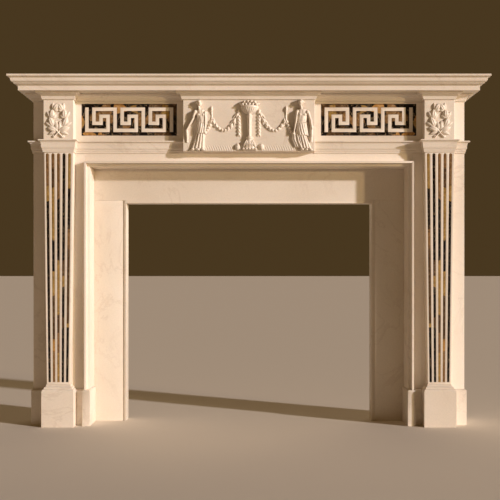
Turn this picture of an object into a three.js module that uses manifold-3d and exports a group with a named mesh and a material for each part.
// Marble chimneypiece: a moulded shelf on a carved and inlaid frieze, carried by two tapered pilasters
// with flute inlays, round an opening lined with plain slips. Millimetres, +Z up, front towards -Y.

import * as THREE from 'three';
import { mergeVertices } from 'three/addons/utils/BufferGeometryUtils.js';
import Module from 'manifold-3d';

const wasm = await Module();
wasm.setup();

// Driving sizes of the whole
const BODY_WIDTH = 1684; // across the outer faces of the jamb slabs
const WALL_DEPTH = 145; // from the face of the jamb slabs back to the wall
const SLAB_THICKNESS = 30;
const RETURN_THICKNESS = 25;
const JOINT = 0.3; // mortar or glue line between neighbouring stones

// Heights, from the hearth up
const PLINTH_BLOCK_HEIGHT = 136;
const PLINTH_CAP_HEIGHT = 28;
const SHAFT_HEIGHT = 896;
const CAP_HEIGHT = 47.5;
const FRIEZE_HEIGHT = 155;
const BED_HEIGHT = 27.5;
const SHELF_THICKNESS = 55;

// Shelf and mouldings: how far each stands out
const CORONA_FRONT = 79; // corona face in front of the slab face
const CORONA_SIDE = 39; // corona face beyond the side of the body
const SHELF_NOSE = 34; // shelf edge beyond the corona face
const BED_PROJECTION = 25;
const CAP_PROJECTION = 18;
const PLINTH_PROJECTION = 17.5; // plinth block beyond the foot of the shaft

// Pilasters
const PILASTER_INSET = 106.5; // centre line of a pilaster from the side of the body
const PILASTER_PROJECTION = 40;
const SHAFT_TOP_WIDTH = 113.5;
const SHAFT_FOOT_WIDTH = 88.5;
const FLUTE_COUNT = 5;
const FLUTE_WIDTH = 11; // at the top, narrowing with the shaft
const FLUTE_PITCH = 21.6; // at the top, narrowing with the shaft
const FLUTE_END_MARGIN = 5; // plain shaft above the round tops
const FLUTE_FOOT_MARGIN = 8; // plain shaft below the square feet
const INLAY_DEPTH = 6;

// Frieze
const BLOCK_WIDTH = 116;
const TABLET_WIDTH = 509;
const TABLET_DROP = 44; // the tablet reaches this far below the frieze
const KEY_COLUMNS = 25; // strips of the key pattern across a panel, without its border
const KEY_ROWS = 7;
const KEY_FOOT_MARGIN = 22.5; // plain marble below a key panel
const KEY_HEAD_MARGIN = 8.5; // above it
const KEY_TABLET_MARGIN = 27.5; // between the tablet and a key panel
const KEY_BLOCK_MARGIN = 23.4; // between a key panel and the wreath block

// Opening and its moulding
const OPENING_WIDTH = 984;
const OPENING_HEIGHT = 872.6;
const HEAD_BAND_HEIGHT = 51; // from the cap moulding down to the reveal
const REVEAL_INSET = 221; // inner face of the reveal from the side of the body
const REVEAL_DEPTH = 85; // from the slab face back to the slips
const REVEAL_STEP_PROJECTION = 5;
const REVEAL_STEP_WIDTH = 10.5;
const FILLET_WIDTH = 8;
const FILLET_PROJECTION = 28;
const SLIP_THICKNESS = 30;
const SLIP_RETURN_THICKNESS = 25; // lining round the opening edge
const SLIP_COVER = 18; // slip edge hidden behind the reveal
const SLIP_HEADER_DROP = 11.4; // header face below the tops of the slip jambs
const QUIRK_OFFSET = 7; // groove of a jamb slip, from the opening edge
const QUIRK_WIDTH = 12;
const QUIRK_DEPTH = 5;

// Base blocks behind the plinths
const BASE_HEIGHT = 139.5;
const BASE_PROJECTION = 12;
const BASE_OVERHANG = 6;
const BASE_INNER_PROJECTION = 33;
const BASE_CHAMFER = 4;

// Carved relief
const TABLET_RELIEF = 26; // highest carving above the tablet face
const WREATH_RELIEF = 12;
const WREATH_HEIGHT = 134;
const WREATH_WIDTH = 104;
const HUSK_GIRTH = 8;

// Facets
const ARC_STEPS = 4; // flats in each curved stretch of a moulding
const FLUTE_TOP_STEPS = 5;
const ROD_SIDES = 5;
const FOLD_SIDES = 4;
const BOWL_SIDES = 8;

// Levels
const shaftFoot = PLINTH_BLOCK_HEIGHT + PLINTH_CAP_HEIGHT;
const capFoot = shaftFoot + SHAFT_HEIGHT;
const friezeFoot = capFoot + CAP_HEIGHT;
const bedFoot = friezeFoot + FRIEZE_HEIGHT;
const shelfFoot = bedFoot + BED_HEIGHT;

// Places across and in depth: P is the distance in front of the slab face
const halfBody = BODY_WIDTH / 2;
const overallDepth = WALL_DEPTH + CORONA_FRONT + SHELF_NOSE;
const slabFaceY = CORONA_FRONT + SHELF_NOSE - overallDepth / 2;
const yAt = (p) => slabFaceY - p;
const pilasterX = halfBody - PILASTER_INSET;
const halfTablet = TABLET_WIDTH / 2;
const tabletFoot = friezeFoot - TABLET_DROP;
const revealX = halfBody - REVEAL_INSET;
const revealZ = capFoot - HEAD_BAND_HEIGHT;
const filletX = revealX + REVEAL_STEP_WIDTH + FILLET_WIDTH;
const filletZ = revealZ + REVEAL_STEP_WIDTH + FILLET_WIDTH;

// Marble and inlay colours
const stone = (color, roughness) => new THREE.MeshStandardMaterial({ color, roughness, metalness: 0 });
const whiteMarble = () => stone(0xe9ddcb, 0.4);
const blackMarble = () => stone(0x1c1410, 0.3);
const goldMarble = () => stone(0xa8742e, 0.3);
const brownMarble = () => stone(0x70492a, 0.3);

// Solids

// A closed geometry as a solid: vertices welded, collapsed triangles dropped
function solid(geometry) {
  const bare = geometry.clone();
  for (const name of Object.keys(bare.attributes)) {
    if (name !== 'position') bare.deleteAttribute(name);
  }
  const welded = mergeVertices(bare, 1e-3);
  const index = welded.index.array;
  const kept = [];
  for (let i = 0; i < index.length; i += 3) {
    const [a, b, c] = [index[i], index[i + 1], index[i + 2]];
    if (a !== b && b !== c && c !== a) kept.push(a, b, c);
  }
  return new wasm.Manifold(new wasm.Mesh({
    numProp: 3,
    vertProperties: new Float32Array(welded.attributes.position.array),
    triVerts: new Uint32Array(kept),
  }));
}

function union(solids) {
  return solids.reduce((whole, next) => whole.add(next));
}

const group = new THREE.Group();

function place(name, body, material) {
  const { vertProperties, triVerts } = body.getMesh();
  const geometry = new THREE.BufferGeometry();
  geometry.setAttribute('position', new THREE.BufferAttribute(vertProperties, 3));
  geometry.setIndex(new THREE.BufferAttribute(triVerts, 1));
  geometry.computeVertexNormals();
  const mesh = new THREE.Mesh(geometry, material);
  mesh.name = name;
  group.add(mesh);
}

function box(x0, x1, p0, p1, z0, z1) {
  const geometry = new THREE.BoxGeometry(x1 - x0, p1 - p0, z1 - z0);
  geometry.translate((x0 + x1) / 2, yAt((p0 + p1) / 2), (z0 + z1) / 2);
  return solid(geometry);
}

// A right-handed frame: the outline's own x and y run along u and v, and it is pushed out along w
function extrude(shape, depth, u, v, w, origin) {
  const geometry = new THREE.ExtrudeGeometry(shape, { depth, bevelEnabled: false, steps: 1 });
  geometry.applyMatrix4(new THREE.Matrix4().makeBasis(u, v, w).setPosition(origin));
  return solid(geometry);
}

const AXIS_X = new THREE.Vector3(1, 0, 0);
const AXIS_Y = new THREE.Vector3(0, 1, 0);
const AXIS_Z = new THREE.Vector3(0, 0, 1);
const outline = (points) => new THREE.Shape(points.map(([a, b]) => new THREE.Vector2(a, b)));

// A section of [p, z] points run along X
function alongX(points, x0, x1) {
  const section = outline(points.map(([p, z]) => [yAt(p), z]));
  return extrude(section, x1 - x0, AXIS_Y, AXIS_Z, AXIS_X, new THREE.Vector3(x0, 0, 0));
}

// A section of [x, p] points run up Z
function alongZ(points, z0, z1) {
  const section = outline(points.map(([x, p]) => [x, yAt(p)]));
  return extrude(section, z1 - z0, AXIS_X, AXIS_Y, AXIS_Z, new THREE.Vector3(0, 0, z0));
}

// A front view of [x, z] points, from p0 out to p1
function alongP(shape, p0, p1) {
  const towardsFront = AXIS_Y.clone().negate();
  return extrude(shape, p1 - p0, AXIS_X, AXIS_Z, towardsFront, new THREE.Vector3(0, yAt(p0), 0));
}

// Moulding profiles are lists of [projection, height] points, from the bottom up

// A curved stretch between two points: shape gives the share of the projection at each share of height
function curve([p0, z0], [p1, z1], shape) {
  return Array.from({ length: ARC_STEPS + 1 }, (_, i) => {
    const t = i / ARC_STEPS;
    return [p0 + (p1 - p0) * shape(t), z0 + (z1 - z0) * t];
  });
}

const hollowQuarter = (t) => 1 - Math.sqrt(1 - t * t);
const roundQuarter = (t) => Math.sqrt(1 - (1 - t) * (1 - t));
const cymaRecta = (t) => (t < 0.5 ? roundQuarter(2 * t) / 2 : (1 + hollowQuarter(2 * t - 1)) / 2);
const cymaReversa = (t) => (t < 0.5 ? hollowQuarter(2 * t) / 2 : (1 + roundQuarter(2 * t - 1)) / 2);

function shelfProfile() {
  const nose = SHELF_NOSE;
  const h = SHELF_THICKNESS;
  return [
    [0, 0],
    ...curve([0, h * 0.3], [nose * 0.3, h * 0.43], hollowQuarter),
    [nose * 0.38, h * 0.43],
    [nose * 0.38, h * 0.5],
    ...curve([nose * 0.42, h * 0.5], [nose * 0.94, h * 0.87], cymaRecta),
    [nose, h * 0.87],
    [nose, h],
  ];
}

function bedProfile() {
  const out = BED_PROJECTION;
  const h = BED_HEIGHT - JOINT;
  return [
    [out * 0.2, 0],
    [out * 0.2, h * 0.18],
    ...curve([out * 0.26, h * 0.18], [out * 0.88, h * 0.8], hollowQuarter),
    [out, h * 0.8],
    [out, h],
  ];
}

function capProfile() {
  const out = CAP_PROJECTION;
  const h = CAP_HEIGHT - JOINT;
  return [
    [out * 0.17, 0],
    ...curve([out * 0.17, h * 0.03], [out * 0.28, h * 0.17], hollowQuarter),
    [out * 0.3, h * 0.17],
    [out * 0.3, h * 0.27],
    ...curve([out * 0.22, h * 0.27], [out * 0.42, h * 0.39], roundQuarter),
    [out * 0.47, h * 0.39],
    [out * 0.47, h * 0.61],
    ...curve([out * 0.5, h * 0.61], [out * 0.92, h * 0.9], hollowQuarter),
    [out, h * 0.9],
    [out, h],
  ];
}

function plinthProfile() {
  const out = PLINTH_PROJECTION;
  const foot = PLINTH_BLOCK_HEIGHT;
  const h = PLINTH_CAP_HEIGHT - JOINT;
  return [
    [out, 0],
    [out, foot],
    ...curve([out * 0.94, foot + h * 0.04], [out * 0.66, foot + h * 0.34], (t) => 1 - roundQuarter(1 - t)),
    [out * 0.6, foot + h * 0.34],
    [out * 0.6, foot + h * 0.44],
    ...curve([out * 0.56, foot + h * 0.44], [out * 0.16, foot + h * 0.86], cymaReversa),
    [out * 0.12, foot + h * 0.86],
    [out * 0.12, foot + h],
  ];
}

// A block with a moulding mitred round its front and both sides. Its own faces are at x0, x1 and front,
// and the profile's projections are counted from them.
function mouldedBlock({ x0, x1, front, back, z }, profile) {
  const low = profile[0][1];
  const high = profile.at(-1)[1];
  const reach = 2 * Math.max(...profile.map(([p]) => p)) + 1;
  const frontSection = [[back, z + low], ...profile.map(([p, h]) => [front + p, z + h]), [back, z + high]];
  const sides = [
    ...profile.map(([p, h]) => [x1 + p, z + h]),
    ...profile.map(([p, h]) => [x0 - p, z + h]).reverse(),
  ];
  return alongX(frontSection, x0 - reach, x1 + reach)
    .intersect(alongP(outline(sides), back, front + reach));
}

// Left and right copies: the left one is built, and the right one is its mirror image
function mirrored(body) {
  return body.mirror([1, 0, 0]);
}

function placePair(name, body, material) {
  place(`${name}_left`, body, material());
  place(`${name}_right`, mirrored(body), material());
}

// Carving: strokes of stone in front of a face, given by x, height z and distance w out of the face

const carvingPoint = (facePlane, [x, z, w]) => new THREE.Vector3(x, yAt(facePlane + w), z);

// A rod with pointed ends that tapers from one radius at a to another at b
function rod(facePlane, a, b, [ra, rb], sides = ROD_SIDES) {
  const start = carvingPoint(facePlane, a);
  const along = carvingPoint(facePlane, b).sub(start);
  const length = along.length();
  const point = 0.6; // length of each pointed end, as a share of the radius there
  const profile = [[0, -point * ra], [ra, 0], [rb, length], [0, length + point * rb]];
  const geometry = new THREE.LatheGeometry(profile.map(([r, y]) => new THREE.Vector2(r, y)), sides);
  geometry.applyQuaternion(new THREE.Quaternion().setFromUnitVectors(AXIS_Y, along.normalize()));
  geometry.translate(start.x, start.y, start.z);
  return solid(geometry);
}

function ellipsoid(facePlane, centre, [rx, rz, rw], columns = 6, rows = 5) {
  const geometry = new THREE.SphereGeometry(1, columns, rows);
  geometry.rotateX(Math.PI / 2);
  geometry.scale(rx, rw, rz);
  const middle = carvingPoint(facePlane, centre);
  geometry.translate(middle.x, middle.y, middle.z);
  return solid(geometry);
}

// A pointed husk or leaf: an octahedron stretched along its own direction
function husk(facePlane, centre, angle, length, width, height) {
  const geometry = new THREE.OctahedronGeometry(1);
  geometry.scale(length / 2, height, width / 2);
  geometry.rotateY(-angle);
  const middle = carvingPoint(facePlane, centre);
  geometry.translate(middle.x, middle.y, middle.z);
  return solid(geometry);
}

const between = (a, b, t) => a.map((value, i) => value + (b[i] - value) * t);

// A string of husks, fuller in the middle, along a line that sags between its ends
function garland(facePlane, start, end, sag, count) {
  const overlap = 1.35;
  const at = (t) => {
    const [x, z, w] = between(start, end, t);
    return [x, z - sag * 4 * t * (1 - t), w];
  };
  return Array.from({ length: count }, (_, i) => {
    const t = (i + 0.5) / count;
    const [x0, z0] = at(t - 0.5 / count);
    const [x1, z1] = at(t + 0.5 / count);
    const girth = HUSK_GIRTH * (0.65 + 0.5 * Math.sin(Math.PI * t));
    const step = Math.hypot(x1 - x0, z1 - z0);
    return husk(facePlane, at(t), Math.atan2(z1 - z0, x1 - x0), overlap * step, girth, 0.75 * girth);
  });
}

// A draped standing woman, in shares of her height: each point is [distance outwards from the middle of her
// head, height above the foot of the tablet]
const WOMEN = {
  left: {
    place: 0.749,
    head: [0, 0.93],
    shoulders: [[-0.1, 0.77], [0.09, 0.785]],
    waist: [[-0.13, 0.56], [0.03, 0.56]],
    overfold: [[-0.115, 0.35], [0.06, 0.34]],
    hem: [[-0.09, 0.035], [0.17, 0.02]],
    innerArm: [[-0.115, 0.77], [-0.145, 0.55], [-0.115, 0.345]],
    outerArm: [[0.09, 0.78], [0.145, 0.64], [0.26, 0.42]],
    cloth: [[[0.16, 0.62], [0.23, 0.24]], [[0.26, 0.42], [0.25, 0.16]]],
  },
  right: {
    place: 0.784,
    head: [0, 0.93],
    shoulders: [[-0.085, 0.775], [0.11, 0.765]],
    waist: [[-0.085, 0.54], [0.08, 0.54]],
    overfold: [[-0.08, 0.34], [0.12, 0.33]],
    hem: [[0.0, 0.06], [0.2, 0.02]],
    innerArm: [[-0.09, 0.77], [-0.12, 0.54], [-0.065, 0.31]],
    outerArm: [[0.12, 0.76], [0.22, 0.45], [0.215, 0.32]],
    cloth: [[[0.23, 0.45], [0.21, 0.17]]],
  },
};

// Half-widths of her parts, as shares of her height
const GIRTH = {
  head: [0.052, 0.068],
  hair: [0.058, 0.058],
  neck: [0.026, 0.037],
  shoulders: [0.04, 0.04],
  torso: [0.09, 0.142],
  skirt: [0.095, 0.19],
  bodiceFold: [0.029, 0.034],
  skirtFold: [0.027, 0.037],
  upperArm: [0.034, 0.026],
  forearm: [0.026, 0.019],
  cloth: [0.021, 0.017],
};
const WOMAN_HEIGHT = 0.965; // as a share of the tablet's height
const BODICE_FOLDS = 2;
const SKIRT_FOLDS = 4;

function woman(facePlane, pose, side, foot, height) {
  const relief = TABLET_RELIEF;
  const middle = side * pose.place * halfTablet;
  const at = ([u, v], w) => [middle + side * u * height, foot + v * height, w * relief];
  const girth = ([a, b]) => [a * height, b * height];
  const lump = (point, w, size, t) => ellipsoid(facePlane, at(point, w), [...girth(size), t * relief]);
  const limb = (a, wa, b, wb, size, sides) => rod(facePlane, at(a, wa), at(b, wb), girth(size), sides);
  const across = (pair, t) => between(pair[0], pair[1], t);
  const [headX, headZ] = pose.head;
  const breast = across(pose.shoulders, 0.5);
  const strokes = [
    lump(pose.head, 0.52, GIRTH.head, 0.46),
    lump([headX + 0.025, headZ + 0.015], 0.36, GIRTH.hair, 0.4),
    limb([headX - 0.02, headZ - 0.06], 0.4, breast, 0.4, GIRTH.neck),
    limb(pose.shoulders[0], 0.38, pose.shoulders[1], 0.38, GIRTH.shoulders),
    lump(across([breast, across(pose.waist, 0.5)], 0.45), 0.36, GIRTH.torso, 0.5),
    lump(across(pose.overfold, 0.5), 0.22, GIRTH.skirt, 0.5),
  ];
  const folds = (top, bottom, count, size, w0, w1) => {
    for (let i = 0; i < count; i += 1) {
      const t = i / (count - 1);
      const rise = 0.12 * Math.sin(Math.PI * t) + 0.08 * (i % 2);
      strokes.push(limb(across(top, t), w0 + rise, across(bottom, t), w1 + rise, size, FOLD_SIDES));
    }
  };
  folds(pose.waist, pose.overfold, BODICE_FOLDS, GIRTH.bodiceFold, 0.42, 0.46);
  folds(pose.overfold, pose.hem, SKIRT_FOLDS, GIRTH.skirtFold, 0.3, 0.26);
  for (const [[shoulder, elbow, hand], w] of [[pose.innerArm, 0.55], [pose.outerArm, 0.4]]) {
    strokes.push(limb(shoulder, 0.4, elbow, w, GIRTH.upperArm), limb(elbow, w, hand, w, GIRTH.forearm));
  }
  pose.cloth.forEach(([top, bottom]) => {
    strokes.push(limb(top, 0.25, bottom, 0.16, GIRTH.cloth, FOLD_SIDES));
  });
  return { strokes, hand: at(pose.innerArm[2], 0.27) };
}

// A footed bowl of fruit, turned about an upright axis in the face: [radius, height] in shares of its height
const BOWL_PROFILE = [
  [0, 0], [0.13, 0], [0.125, 0.06], [0.075, 0.14], [0.065, 0.21], [0.09, 0.225], [0.09, 0.255],
  [0.05, 0.28], [0.045, 0.6], [0.06, 0.68], [0.04, 0.72], [0.08, 0.745], [0.165, 0.79], [0.19, 0.86],
  [0.175, 0.895], [0, 0.895],
];
const BOWL_HEIGHT = 0.955; // as a share of the tablet's height
const BOWL_FOOT = 0.015;
const FRUIT_COUNT = 5;
const FRUIT_SIZE = [0.042, 0.05];
const FRUIT_PITCH = 0.072;
const SCROLL_PLACES = [-1, -0.35, 0.35, 1];

function fruitBowl(facePlane, foot, height) {
  const relief = TABLET_RELIEF;
  const widest = Math.max(...BOWL_PROFILE.map(([r]) => r));
  const points = BOWL_PROFILE.map(([r, z]) => new THREE.Vector2(r * height, z * height));
  const geometry = new THREE.LatheGeometry(points, BOWL_SIDES);
  geometry.rotateX(Math.PI / 2);
  geometry.scale(1, relief / (widest * height), 1);
  geometry.translate(0, yAt(facePlane), foot);
  const at = (u, v, w) => [u * height, foot + v * height, w * relief];
  const fruit = Array.from({ length: FRUIT_COUNT }, (_, i) => {
    const fromMiddle = i - (FRUIT_COUNT - 1) / 2;
    const [rx, rz] = FRUIT_SIZE;
    return ellipsoid(facePlane, at(fromMiddle * FRUIT_PITCH, 0.93 - 0.01 * Math.abs(fromMiddle), 0.45),
      [rx * height, rz * height, 0.4 * relief], 5, 4);
  });
  const scrolls = SCROLL_PLACES.map((u) => rod(facePlane, at(0.045 * u, 0.2, 0.3), at(0.12 * u, 0.035, 0.45),
    [0.02 * height, 0.032 * height], FOLD_SIDES));
  return [solid(geometry), ...fruit, ...scrolls];
}

// What hangs between the bowl and the women: x as a share of the tablet's half-width,
// and heights and girths as shares of its height
const PEG = { x: 0.56, foot: 0.613, neck: 0.764, stem: [0.008, 0.011] };
const SPINDLE = { v: 0.804, size: [0.017, 0.065, 0.2] };
const DROP = { x: 0.153, top: 0.784, foot: 0.286, count: 4 };
const SWAG = { top: 0.764, sag: 0.281, count: 7 };
const OUTER_SWAG = { sag: 0.03, count: 4 };
const SHELL = { x: 0.22, v: 0.065, size: [0.05, 0.065, 0.4] };
const SWAG_LIE = 0.08; // how far the husks' middles stand out, as a share of the relief

function tabletRelief(facePlane) {
  const height = bedFoot - tabletFoot;
  const at = (u, v, w) => [u * halfTablet, tabletFoot + v * height, w * TABLET_RELIEF];
  const size = ([rx, rz, rw]) => [rx * height, rz * height, rw * TABLET_RELIEF];
  const strokes = [];
  for (const [pose, side] of [[WOMEN.left, -1], [WOMEN.right, 1]]) {
    const figure = woman(facePlane, pose, side, tabletFoot + 0.01 * height, WOMAN_HEIGHT * height);
    const peg = at(side * PEG.x, PEG.foot, SWAG_LIE);
    strokes.push(
      ...figure.strokes,
      ellipsoid(facePlane, at(side * PEG.x, SPINDLE.v, 0.15), size(SPINDLE.size), 6, 4),
      rod(facePlane, at(side * PEG.x, PEG.neck, 0.1), peg, PEG.stem.map((r) => r * height), FOLD_SIDES),
      ...garland(facePlane, peg, figure.hand, OUTER_SWAG.sag * height, OUTER_SWAG.count),
      ...garland(facePlane, at(side * DROP.x, SWAG.top, SWAG_LIE), peg, SWAG.sag * height, SWAG.count),
      ...garland(facePlane, at(side * DROP.x, DROP.top, SWAG_LIE), at(side * DROP.x, DROP.foot, SWAG_LIE),
        0, DROP.count),
      ellipsoid(facePlane, at(side * SHELL.x * height / halfTablet, SHELL.v, 0.1), size(SHELL.size)),
    );
  }
  return [...strokes, ...fruitBowl(facePlane, tabletFoot + BOWL_FOOT * height, BOWL_HEIGHT * height)];
}

// Two laurel sprays that cross at the foot and meet at the top. Leaves lie along each stem in threes:
// outwards, straight on and inwards. Lengths are shares of the wreath's height, and heights of its relief.
const SPRAY_STATIONS = 5;
const SPRAY_STEM = { x: 0.27 * WREATH_WIDTH, z: 0.335 * WREATH_HEIGHT, radius: 0.045 };
const SPRAY_RISE = 0.02;
const SPRAY_LEAVES = [
  { turn: -0.75, out: 0.62, high: 0.55 },
  { turn: 0, out: 0.1, high: 1 },
  { turn: 0.6, out: -0.28, high: 0.75 },
];
const LEAF_LENGTH = 0.245;
const LEAF_WIDTH = 0.1;
const CROSSING = { v: -0.36, reach: [0.11, 0.127], size: [0.037, 0.03] };
const ROSETTE = { v: 0.4, size: [0.067, 0.06] };

function wreathRelief(facePlane, x) {
  const unit = WREATH_HEIGHT;
  const middle = friezeFoot + FRIEZE_HEIGHT / 2;
  const heart = middle + SPRAY_RISE * unit;
  const strokes = [];
  for (const side of [-1, 1]) {
    const stem = (t) => {
      const angle = -Math.PI / 2 + Math.PI * t;
      return [x + side * SPRAY_STEM.x * Math.cos(angle), heart + SPRAY_STEM.z * Math.sin(angle)];
    };
    for (let i = 0; i < SPRAY_STATIONS; i += 1) {
      const t = (i + 0.6) / (SPRAY_STATIONS + 0.6);
      const [x0, z0] = stem(t);
      const [x1, z1] = stem(t + 0.02);
      const heading = Math.atan2(z1 - z0, side * (x1 - x0));
      for (const { turn, out, high } of SPRAY_LEAVES) {
        const angle = heading + turn;
        const reach = LEAF_LENGTH * (0.42 + 0.1 * Math.abs(out));
        const centre = [
          x0 + side * unit * (Math.cos(angle) * reach + 0.045 * out),
          z0 + unit * Math.sin(angle) * reach,
          0,
        ];
        strokes.push(husk(facePlane, centre, side > 0 ? angle : Math.PI - angle, LEAF_LENGTH * unit,
          LEAF_WIDTH * unit, high * WREATH_RELIEF));
      }
    }
    const girth = SPRAY_STEM.radius * unit;
    for (const t of [0, 1 / 3, 2 / 3]) {
      strokes.push(rod(facePlane, [...stem(t), 0], [...stem(t + 1 / 3), 0], [girth, girth], FOLD_SIDES));
    }
    const crossing = middle + CROSSING.v * unit;
    const [up, down] = CROSSING.reach.map((share) => share * unit);
    strokes.push(rod(facePlane, [x + side * up, crossing + up, 0], [x - side * down, crossing - down, 0],
      CROSSING.size.map((share) => share * unit)));
  }
  strokes.push(ellipsoid(facePlane, [x, middle + ROSETTE.v * unit, 0],
    [...ROSETTE.size.map((share) => share * unit), 0.9 * WREATH_RELIEF]));
  return strokes;
}

// Shelf and bed moulding

place('shelf', mouldedBlock({
  x0: -halfBody - CORONA_SIDE,
  x1: halfBody + CORONA_SIDE,
  front: CORONA_FRONT,
  back: -WALL_DEPTH,
  z: shelfFoot,
}, shelfProfile()), whiteMarble());

const brokenForward = [
  { x0: -pilasterX - BLOCK_WIDTH / 2, x1: -pilasterX + BLOCK_WIDTH / 2 },
  { x0: -halfTablet, x1: halfTablet },
  { x0: pilasterX - BLOCK_WIDTH / 2, x1: pilasterX + BLOCK_WIDTH / 2 },
];
const bedRuns = [
  { x0: -halfBody, x1: halfBody, front: 0, back: -WALL_DEPTH, z: bedFoot },
  ...brokenForward.map((span) => (
    { ...span, front: PILASTER_PROJECTION, back: -SLAB_THICKNESS, z: bedFoot })),
];
place('bed_moulding', union(bedRuns.map((run) => mouldedBlock(run, bedProfile()))), whiteMarble());

// Frieze: the lintel slab, with sunk beds for the two key panels

const keyX = -pilasterX + BLOCK_WIDTH / 2 + KEY_BLOCK_MARGIN;
const keyZ = friezeFoot + KEY_FOOT_MARGIN;
const keyWidth = -halfTablet - KEY_TABLET_MARGIN - keyX;
const keyHeight = bedFoot - KEY_HEAD_MARGIN - keyZ;
const keyUnit = new THREE.Vector2(keyWidth / (KEY_COLUMNS + 2), keyHeight / (KEY_ROWS + 2));
const friezeTop = bedFoot - JOINT;
const lintelOutline = outline([
  [-halfBody, capFoot], [-filletX - JOINT, capFoot], [-filletX - JOINT, filletZ + JOINT],
  [filletX + JOINT, filletZ + JOINT], [filletX + JOINT, capFoot], [halfBody, capFoot],
  [halfBody, friezeTop], [-halfBody, friezeTop],
]);
const keyBed = box(keyX - JOINT, keyX + keyWidth + JOINT, -INLAY_DEPTH - JOINT, 1,
  keyZ - JOINT, keyZ + keyHeight + JOINT);
place('lintel', alongP(lintelOutline, -SLAB_THICKNESS, 0).subtract(keyBed).subtract(mirrored(keyBed)),
  whiteMarble());

// The meander is one strip: each turn of the key goes down, across, up, back and round its own centre
function meanderPath() {
  const last = KEY_ROWS - 1;
  const period = KEY_ROWS + 1;
  const path = [];
  for (let c = 0; c + period <= KEY_COLUMNS - 1; c += period) {
    path.push([c, 0], [c, last], [c + last, last], [c + last, 2], [c + last - 2, 2], [c + last - 2, 4],
      [c + 2, 4], [c + 2, 0]);
  }
  path.push([KEY_COLUMNS - 1, 0], [KEY_COLUMNS - 1, last]);
  return path;
}

// The strip round that path, grown by a margin: each corner is set off to both sides along its mitre
function meanderStrip(margin, p0, p1) {
  const half = keyUnit.clone().multiplyScalar(0.5).addScalar(margin);
  const path = meanderPath().map(([c, r]) => new THREE.Vector2(
    keyX + (c + 1.5) * keyUnit.x, keyZ + (KEY_ROWS - r + 0.5) * keyUnit.y));
  const edge = (points) => points.map((point, i) => {
    const before = i > 0 ? point.clone().sub(points[i - 1]).normalize() : null;
    const after = i < points.length - 1 ? points[i + 1].clone().sub(point).normalize() : null;
    const normals = [before, after].filter(Boolean).map((d) => new THREE.Vector2(-d.y, d.x));
    const corner = point.clone();
    normals.forEach((normal) => corner.add(normal.multiply(half)));
    if (!before) corner.sub(after.clone().multiply(half));
    if (!after) corner.add(before.clone().multiply(half));
    return corner;
  });
  return alongP(new THREE.Shape([...edge(path), ...edge([...path].reverse())]), p0, p1);
}

const keyGround = box(keyX, keyX + keyWidth, -INLAY_DEPTH, 0, keyZ, keyZ + keyHeight)
  .subtract(meanderStrip(JOINT / 2, -INLAY_DEPTH - 1, 1));
placePair('key_ground', keyGround, blackMarble);
placePair('key_meander', meanderStrip(-JOINT / 2, -INLAY_DEPTH, 0), whiteMarble);

// Carved tablet and wreath blocks, fixed on the face of the lintel

const tabletTop = friezeTop;
const tabletBlock = box(-halfTablet, halfTablet, JOINT, PILASTER_PROJECTION, tabletFoot, tabletTop);
const tabletSpace = box(-halfTablet, halfTablet, JOINT, PILASTER_PROJECTION + TABLET_RELIEF,
  tabletFoot, tabletTop);
place('frieze_tablet', union([tabletBlock, ...tabletRelief(PILASTER_PROJECTION)]).intersect(tabletSpace),
  whiteMarble());

const blockSpan = [-pilasterX - BLOCK_WIDTH / 2, -pilasterX + BLOCK_WIDTH / 2];
const wreathBlock = box(...blockSpan, JOINT, PILASTER_PROJECTION, friezeFoot, friezeTop);
const wreathSpace = box(...blockSpan, JOINT, PILASTER_PROJECTION + WREATH_RELIEF, friezeFoot, friezeTop);
const wreathCarving = wreathRelief(PILASTER_PROJECTION, -pilasterX);
placePair('wreath_block', union([wreathBlock, ...wreathCarving]).intersect(wreathSpace), whiteMarble);

// Cap mouldings: strips on the lintel that break forward over the pilasters and return along the sides

const capRuns = [
  { x0: -halfBody, x1: 0, front: 0, back: -WALL_DEPTH, z: capFoot },
  {
    x0: -pilasterX - SHAFT_TOP_WIDTH / 2,
    x1: -pilasterX + SHAFT_TOP_WIDTH / 2,
    front: PILASTER_PROJECTION,
    back: 0,
    z: capFoot,
  },
];
const behindCap = box(-halfBody - JOINT, CAP_PROJECTION * 2, -WALL_DEPTH - 1, JOINT,
  capFoot - 1, friezeFoot + 1);
const besideCap = box(-halfTablet - JOINT, CAP_PROJECTION * 2, -1, PILASTER_PROJECTION * 2,
  capFoot - 1, friezeFoot + 1);
placePair('cap_moulding', union(capRuns.map((run) => mouldedBlock(run, capProfile())))
  .subtract(behindCap).subtract(besideCap), whiteMarble);

// Pilasters: tapered shafts with inlaid flutes, round at the top and square at the foot

const shaftTop = capFoot - JOINT;
const taper = SHAFT_FOOT_WIDTH / SHAFT_TOP_WIDTH;
const shaftShare = (z) => taper + (1 - taper) * (z - shaftFoot) / SHAFT_HEIGHT;
const fluteFoot = shaftFoot + FLUTE_FOOT_MARGIN;
const fluteTop = capFoot - FLUTE_END_MARGIN;

function fluteOutline(number, margin) {
  const offset = (number - (FLUTE_COUNT - 1) / 2) * FLUTE_PITCH;
  const side = (z, sign) => -pilasterX + shaftShare(z) * (offset + sign * FLUTE_WIDTH / 2) + sign * margin;
  const springing = fluteTop - FLUTE_WIDTH / 2;
  const centre = -pilasterX + shaftShare(springing) * offset;
  const radius = side(springing, 1) - centre;
  const shape = new THREE.Shape();
  shape.moveTo(side(fluteFoot, -1), fluteFoot - margin);
  shape.lineTo(side(fluteFoot, 1), fluteFoot - margin);
  shape.absarc(centre, springing, radius, 0, Math.PI, false);
  return new THREE.Shape(shape.extractPoints(FLUTE_TOP_STEPS).shape);
}

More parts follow.
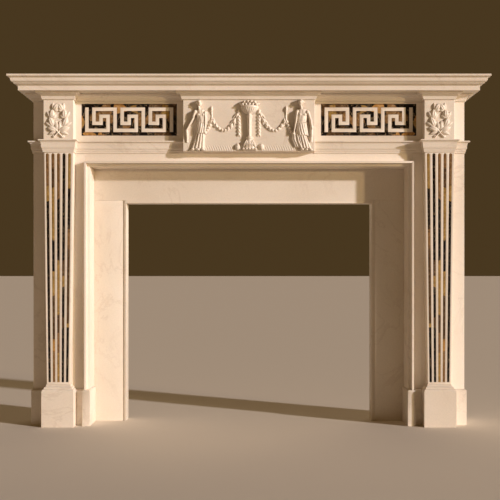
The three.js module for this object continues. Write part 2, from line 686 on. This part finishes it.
const shaftOutline = outline([
  [-pilasterX - SHAFT_FOOT_WIDTH / 2, shaftFoot],
  [-pilasterX + SHAFT_FOOT_WIDTH / 2, shaftFoot],
  [-pilasterX + SHAFT_TOP_WIDTH / 2, shaftTop],
  [-pilasterX - SHAFT_TOP_WIDTH / 2, shaftTop],
]);
const flutes = Array.from({ length: FLUTE_COUNT }, (_, i) => i);
const fluteFloor = PILASTER_PROJECTION - INLAY_DEPTH;
const fluteBeds = union(flutes.map((i) => alongP(fluteOutline(i, JOINT), fluteFloor - JOINT,
  PILASTER_PROJECTION + 1)));
placePair('pilaster', alongP(shaftOutline, JOINT, PILASTER_PROJECTION).subtract(fluteBeds), whiteMarble);

const fluteStones = [blackMarble, brownMarble, goldMarble, blackMarble, goldMarble];
for (const i of flutes) {
  const inlay = alongP(fluteOutline(i, 0), fluteFloor, PILASTER_PROJECTION);
  place(`flute_inlay_left_${i + 1}`, inlay, fluteStones[i % fluteStones.length]());
  place(`flute_inlay_right_${i + 1}`, mirrored(inlay), fluteStones[i % fluteStones.length]());
}

// Base blocks: a front board, a return to the wall and a deeper block under the opening moulding

const baseProfile = [[0, 0], [0, BASE_HEIGHT - BASE_CHAMFER], [-BASE_CHAMFER, BASE_HEIGHT - JOINT]];
const baseOuter = -halfBody - BASE_OVERHANG;
const baseInner = -revealX + BASE_OVERHANG;
const baseRuns = [
  { x0: baseOuter, x1: -revealX - BASE_OVERHANG, front: BASE_PROJECTION, back: -SLAB_THICKNESS, z: 0 },
  { x0: baseOuter, x1: -halfBody + RETURN_THICKNESS, front: BASE_PROJECTION, back: -WALL_DEPTH, z: 0 },
  {
    x0: -filletX - BASE_OVERHANG,
    x1: baseInner,
    front: BASE_INNER_PROJECTION,
    back: -REVEAL_DEPTH + JOINT,
    z: 0,
  },
];
const jambBase = union(baseRuns.map((run) => mouldedBlock(run, baseProfile)));
placePair('jamb_base', jambBase, whiteMarble);

// Plinths under the shafts, fitted over the base blocks

const plinthRun = {
  x0: -pilasterX - SHAFT_FOOT_WIDTH / 2,
  x1: -pilasterX + SHAFT_FOOT_WIDTH / 2,
  front: PILASTER_PROJECTION,
  back: JOINT,
  z: 0,
};
const behindPlinth = box(-halfBody, -revealX, -1, BASE_PROJECTION + JOINT, -1, BASE_HEIGHT);
placePair('plinth', mouldedBlock(plinthRun, plinthProfile()).subtract(behindPlinth), whiteMarble);

// Jamb slabs and the returns that close the sides to the wall

placePair('jamb_slab', box(-halfBody, -filletX - JOINT, -SLAB_THICKNESS, 0, BASE_HEIGHT, capFoot - JOINT),
  whiteMarble);
placePair('side_return', box(-halfBody, -halfBody + RETURN_THICKNESS, -WALL_DEPTH, -SLAB_THICKNESS - JOINT,
  BASE_HEIGHT, friezeTop), whiteMarble);

// Opening moulding: a raised fillet, a step and a deep reveal, mitred at the corners

// The section as [distance out from the reveal face, p] points
const revealSection = [
  [0, -REVEAL_DEPTH + JOINT],
  [REVEAL_STEP_WIDTH + FILLET_WIDTH, -REVEAL_DEPTH + JOINT],
  [REVEAL_STEP_WIDTH + FILLET_WIDTH, FILLET_PROJECTION],
  [REVEAL_STEP_WIDTH, FILLET_PROJECTION],
  [REVEAL_STEP_WIDTH, REVEAL_STEP_PROJECTION],
  [0, REVEAL_STEP_PROJECTION],
];
const jambMitre = outline([
  [-filletX, BASE_HEIGHT], [-revealX, BASE_HEIGHT], [-revealX, revealZ - JOINT], [-filletX, filletZ - JOINT],
]);
const revealUpright = alongZ(revealSection.map(([d, p]) => [-revealX - d, p]).reverse(),
  BASE_HEIGHT, filletZ);
placePair('opening_moulding',
  revealUpright.intersect(alongP(jambMitre, -WALL_DEPTH, FILLET_PROJECTION + 1)), whiteMarble);

const headerMitre = outline([
  [-revealX, revealZ], [revealX, revealZ], [filletX, filletZ], [-filletX, filletZ],
]);
const revealHeader = alongX(revealSection.map(([d, p]) => [p, revealZ + d]), -filletX, filletX);
place('opening_moulding_header',
  revealHeader.intersect(alongP(headerMitre, -WALL_DEPTH, FILLET_PROJECTION + 1)), whiteMarble());

// Slips: plain facings round the opening, each with a lining along its inner edge. The jambs have a quirk
// beside theirs, and the header has none.

const halfOpening = OPENING_WIDTH / 2;
const slipOuter = revealX + SLIP_COVER;
const slipTop = revealZ + SLIP_COVER;
const slipJoint = OPENING_HEIGHT + SLIP_HEADER_DROP;
const slipSection = [
  [0, -REVEAL_DEPTH],
  [0, -WALL_DEPTH],
  [SLIP_RETURN_THICKNESS, -WALL_DEPTH],
  [SLIP_RETURN_THICKNESS, -REVEAL_DEPTH - SLIP_THICKNESS],
  [slipOuter - halfOpening, -REVEAL_DEPTH - SLIP_THICKNESS],
  [slipOuter - halfOpening, -REVEAL_DEPTH],
];
const quirk = [
  [QUIRK_OFFSET + QUIRK_WIDTH, -REVEAL_DEPTH],
  [QUIRK_OFFSET + QUIRK_WIDTH / 2, -REVEAL_DEPTH - QUIRK_DEPTH],
  [QUIRK_OFFSET, -REVEAL_DEPTH],
];
const slipJambSection = [...slipSection, ...quirk].map(([d, p]) => [-halfOpening - d, p]);
placePair('slip', alongZ(slipJambSection, 0, slipJoint - JOINT), whiteMarble);

const slipHeaderSection = slipSection.map(([d, p]) => [p, OPENING_HEIGHT + d * (d > SLIP_RETURN_THICKNESS
  ? (slipTop - OPENING_HEIGHT) / (slipOuter - halfOpening) : 1)]);
const headerSpace = union([
  box(-halfOpening + JOINT, halfOpening - JOINT, -WALL_DEPTH - 1, -REVEAL_DEPTH + 1, 0, slipTop + 1),
  box(-slipOuter, slipOuter, -WALL_DEPTH - 1, -REVEAL_DEPTH + 1, slipJoint, slipTop + 1),
]);
place('slip_header', alongX(slipHeaderSection, -slipOuter, slipOuter).intersect(headerSpace), whiteMarble());

export default group;
